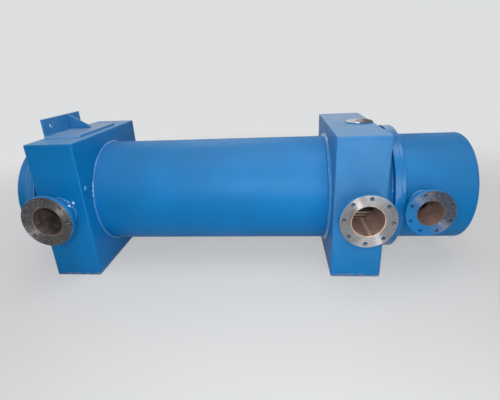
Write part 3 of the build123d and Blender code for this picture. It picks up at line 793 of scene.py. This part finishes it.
class EXCHANGER_OT_weld_nozzles(bpy.types.Operator):
    """Welds the nozzle pipes to headers, channel and flanges."""

    bl_idname = "exchanger.weld_nozzles"
    bl_label = "Weld nozzles"

    def execute(self, context):
        weld, finish = context.scene.exchanger_weld, context.scene.exchanger_finish
        material = enamelled_steel("enamelled_weld_nozzle", finish, gloss="bead")
        barrel_radius = middle_and_half("channel_barrel")[1].z
        step = weld.pool / FILLET_STATIONS
        for nozzle in NOZZLES:
            sizes = nozzle_sizes(nozzle)
            radius, out = sizes["radius"], sizes["out"]
            centre = Vector((sizes["middle"].x, 0, sizes["middle"].z))
            if nozzle in GAS_NOZZLES:
                front = header_box(GAS_NOZZLES[nozzle])[1].y
                root = round_stations(centre + out * front, Y, radius, 1, out.y, step)
            else:
                root = saddle_stations(centre, radius, out, barrel_radius, step)
            back = round_stations(centre + Y * sizes["back"], Y, radius, 1, -out.y, step)
            mesh = ([], [])
            for stations in (root, back):
                lay_fillet(mesh, stations, True, weld.nozzle_leg, "nozzle", weld)
            welded(f"{nozzle}_welds", mesh, material)
            if nozzle == "left_nozzle":
                # Two tacks at the upper right held this pipe before its root was welded.
                across = X * math.cos(TACK_TURN) + Z * math.sin(TACK_TURN)
                along = out.cross(across) * TACK_HALF_LENGTH
                up = (across * TACK_LEAN[0] + out * TACK_LEAN[1]).normalized()
                tacks = ([], [])
                for place in (across * radius + out * (front + TACK_RISE),
                              across * (radius + TACK_REACH) + out * front):
                    stations = straight_stations(centre + place - along, centre + place + along,
                                                 along.cross(up).normalized(), up, TACK_STEP)
                    lay_bead(tacks, stations, False, TACK_HALF_WIDTH, SEAM, TACK_CROWN, 0, weld.pool)
                welded(f"{nozzle}_tacks", tacks, enamelled_steel("enamelled_tack", finish, gloss="wet"))
            mouth = centre + Y * sizes["mouth"]
            bore = ([], [])
            stations = round_stations(mouth, Y, radius, -1, out.y, step)
            lay_fillet(bore, stations, True, weld.bore_leg, "bore", weld)
            if nozzle in GAS_NOZZLES:
                # The seam of a rolled pipe lies a little to one side of its lowest line.
                inwards = Z * math.cos(PIPE_SEAM_TURN) - X * math.sin(PIPE_SEAM_TURN)
                start = mouth - inwards * BORES[f"{nozzle}_bore"] - out * PIPE_SEAM_INSET
                end = start - out * (sizes["length"] - 2 * PIPE_SEAM_INSET)
                stations = straight_stations(start, end, inwards.cross(Y), inwards, step)
                lay_bead(bore, stations, False, weld.pipe_seam / 2, SEAM, PIPE_SEAM_CROWN * weld.seam_height,
                         PIPE_SEAM_RIPPLE * weld.seam_height, weld.pool)
            bare = bare_weld(f"bare_weld_{nozzle}", finish, FLANGE_AGES[nozzle][0])
            welded(f"{nozzle}_bore_welds", bore, bare)
        return {"FINISHED"}


class EXCHANGER_OT_weld_fittings(bpy.types.Operator):
    """Welds the bracket's pad, upright and gusset, and the vent flange."""

    bl_idname = "exchanger.weld_fittings"
    bl_label = "Weld bracket and vent flange"

    def execute(self, context):
        weld, finish = context.scene.exchanger_weld, context.scene.exchanger_finish
        pad, pad_half = middle_and_half("bracket_pad")
        upright, upright_half = middle_and_half("bracket_upright")
        gusset, gusset_half = middle_and_half("bracket_gusset")
        vent, vent_half = middle_and_half("vent_flange")
        glossy, plain = ([], []), ([], [])
        step = weld.pool / FILLET_STATIONS

        def straight(mesh, start, end, side, up):
            kind = "pad" if mesh is glossy else "fitting"
            stations = straight_stations(start, end, side, up, step)
            lay_fillet(mesh, stations, False, weld.bracket_leg, kind, weld)

        low = pad - Z * pad_half.z
        for way, mesh in ((-1, glossy), (1, plain)):
            corner = low + Y * way * pad_half.y
            straight(mesh, corner - X * pad_half.x, corner + X * pad_half.x, Y * way, Z)
        corner = low + X * pad_half.x
        straight(plain, corner - Y * pad_half.y, corner + Y * pad_half.y, X, Z)
        top = pad.z + pad_half.z
        foot = upright.x + upright_half.x
        for start, end in ((upright.y - upright_half.y, gusset.y - gusset_half.y),
                           (gusset.y + gusset_half.y, upright.y + upright_half.y)):
            straight(plain, Vector((foot, start, top)), Vector((foot, end, top)), X, Z)
        for way in (-1, 1):
            start = Vector((gusset.x - gusset_half.x, gusset.y + way * gusset_half.y, top))
            straight(plain, start, start + X * 2 * gusset_half.x, Y * way, Z)
            straight(plain, start, start + Z * 2 * gusset_half.z, Y * way, X)
        # Chalk on the pad's front bead paints a pale highlight along it.
        welded("bracket_pad_weld", glossy,
               enamelled_steel("enamelled_weld_pad", finish, weather_and_light=WEATHER_AND_LIGHT["pad_weld"], gloss="rim"))
        welded("bracket_welds", plain, enamelled_steel("enamelled_weld_bracket", finish))
        ring = ([], [])
        stations = round_stations(vent - Z * vent_half.z, Z, vent_half.x, 1, 1, step)
        lay_fillet(ring, stations, True, weld.bracket_leg, "fitting", weld)
        welded("vent_flange_weld", ring, enamelled_steel("enamelled_weld_vent", finish))
        return {"FINISHED"}


class EXCHANGER_OT_stage(bpy.types.Operator):
    """Makes floor, backdrop, lights and camera."""

    bl_idname = "exchanger.stage"
    bl_label = "Set the stage"

    def execute(self, context):
        scene = context.scene
        stage = scene.exchanger_stage
        scene.view_settings.view_transform = "Standard"
        middle = Vector((SHELL_MIDDLE.x + FLOOR_SHIFT, 0, 0))
        edge = FLOOR_RINGS[-1]
        profile = [(ring, 0.0) for ring in FLOOR_RINGS]
        for step in range(1, BEND_STEPS + 1):
            angle = step * math.pi / (2 * BEND_STEPS)
            profile.append((edge + BEND * math.sin(angle), BEND - BEND * math.cos(angle)))
        profile += [(edge + BEND, height) for height in WALL_RINGS]
        angles = [2 * math.pi * turn / FLOOR_TURNS for turn in range(FLOOR_TURNS)]
        points = [middle + Vector((math.cos(angle), math.sin(angle), 0)) * out + Z * rise
                  for out, rise in profile for angle in angles]
        faces = []
        for row in range(0, (len(profile) - 1) * FLOOR_TURNS, FLOOR_TURNS):
            above = row + FLOOR_TURNS
            for turn in range(FLOOR_TURNS):
                after = (turn + 1) % FLOOR_TURNS
                faces.append((row + turn, row + after, above + after, above + turn))
        data = bpy.data.meshes.new("floor")
        data.from_pydata([tuple(point) for point in points], [], faces)
        data.polygons.foreach_set("use_smooth", [True] * len(data.polygons))

        def matt_paper(tree, place):
            # Matt paper gives the eye an even pale grey that holds a soft shadow.
            rays = [add(tree, "LightPath", {}, {}, f"Is {kind} Ray")
                    for kind in ("Camera", "Glossy", "Transmission")]
            pulp = add(tree, "TexNoise", {}, {"Vector": place, "Scale": 1 / (400 * MM), "Detail": 3})
            shade = add(tree, "Mix", TINTED, {0: pulp, 6: opaque(stage.floor, 0.72),
                                              7: opaque(stage.floor, 0.78)}, 2)
            paper = add(tree, "BsdfPrincipled", {}, {"Base Color": shade, "Roughness": 0.9, "IOR": 1.4})
            pale = add(tree, "Emission", {}, {"Color": opaque(stage.floor), "Strength": 1})
            seen = add(tree, "Math", {"operation": "ADD"}, {0: rays[0], 1: rays[1]})
            seen = add(tree, "Math", {"operation": "ADD", "use_clamp": True}, {0: seen, 1: rays[2]})
            # Near the object the paper keeps its shadow, and further away it turns evenly pale.
            away = distance_to_axis(tree, place, middle, (1, 1, 1))
            glow = add(tree, "MapRange", EASED, {0: away, 1: 1.6, 2: 4.5, 3: 0.55, 4: 0.95})
            share = add(tree, "Math", {"operation": "MULTIPLY"}, {0: seen, 1: glow})
            return add(tree, "MixShader", {}, {0: share, 1: paper, 2: pale})

        data.materials.append(finished("matt_backdrop_paper", matt_paper))
        floor = bpy.data.objects.new("floor", data)
        scene.collection.objects.link(floor)

        world = bpy.data.worlds.new("studio")
        world.use_nodes = True
        world.node_tree.nodes["Background"].inputs["Color"].default_value = (1, 1, 1, 1)
        world.node_tree.nodes["Background"].inputs["Strength"].default_value = stage.sky
        scene.world = world

        for name, (size, place) in LIGHTS.items():
            lamp = bpy.data.lights.new(f"{name}_light", "AREA")
            lamp.energy, lamp.size = getattr(stage, name), size
            light = bpy.data.objects.new(f"{name}_light", lamp)
            light.location = place
            light.rotation_euler = (LIT_POINT - place).to_track_quat("-Z", "Y").to_euler()
            light.visible_camera = False
            scene.collection.objects.link(light)

        level = Vector((math.sin(stage.yaw), math.cos(stage.yaw), 0))
        right = Vector((math.cos(stage.yaw), -math.sin(stage.yaw), 0))
        ahead = level * math.cos(stage.pitch) - Z * math.sin(stage.pitch)
        over = Z * math.cos(stage.pitch) + level * math.sin(stage.pitch)
        rolled = right * math.cos(stage.roll) + over * math.sin(stage.roll)
        upright = over * math.cos(stage.roll) - right * math.sin(stage.roll)
        data = bpy.data.cameras.new("camera")
        data.lens, data.sensor_fit, data.sensor_width = stage.lens, "HORIZONTAL", SENSOR_WIDTH
        camera = bpy.data.objects.new("camera", data)
        turn = Matrix((rolled, upright, -ahead)).transposed().to_4x4()
        camera.matrix_world = Matrix.Translation(Vector(stage.camera)) @ turn
        scene.collection.objects.link(camera)
        scene.camera = camera
        return {"FINISHED"}


OPERATORS = (EXCHANGER_OT_paint_plates, EXCHANGER_OT_finish_nozzles, EXCHANGER_OT_finish_vent_and_tubes,
             EXCHANGER_OT_weld_rounds, EXCHANGER_OT_weld_headers, EXCHANGER_OT_weld_nozzles,
             EXCHANGER_OT_weld_fittings, EXCHANGER_OT_stage)


class EXCHANGER_PT_panel(bpy.types.Panel):
    """Lists the settings and steps of the finish."""

    bl_label = "Heat exchanger"
    bl_idname = "EXCHANGER_PT_panel"
    bl_space_type = "VIEW_3D"
    bl_region_type = "UI"
    bl_category = "Exchanger"

    def draw(self, context):
        scene = context.scene
        for group in (scene.exchanger_finish, scene.exchanger_weld, scene.exchanger_stage):
            for name in group.__annotations__:
                self.layout.prop(group, name)
        for operator in OPERATORS:
            self.layout.operator(operator.bl_idname)


CLASSES = (FinishSettings, WeldSettings, StageSettings, *OPERATORS, EXCHANGER_PT_panel)


def register():
    """Registers the classes and hangs the settings on the scene."""
    for item in CLASSES:
        bpy.utils.register_class(item)
    bpy.types.Scene.exchanger_finish = PointerProperty(type=FinishSettings)
    bpy.types.Scene.exchanger_weld = PointerProperty(type=WeldSettings)
    bpy.types.Scene.exchanger_stage = PointerProperty(type=StageSettings)


def unregister():
    """Takes the settings and the classes away again."""
    del bpy.types.Scene.exchanger_stage
    del bpy.types.Scene.exchanger_weld
    del bpy.types.Scene.exchanger_finish
    for item in reversed(CLASSES):
        bpy.utils.unregister_class(item)


def main():
    """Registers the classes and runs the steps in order."""
    register()
    bpy.ops.exchanger.paint_plates()
    bpy.ops.exchanger.finish_nozzles()
    bpy.ops.exchanger.finish_vent_and_tubes()
    bpy.ops.exchanger.weld_rounds()
    bpy.ops.exchanger.weld_headers()
    bpy.ops.exchanger.weld_nozzles()
    bpy.ops.exchanger.weld_fittings()
    bpy.ops.exchanger.stage()


if __name__ == "__main__":
    main()
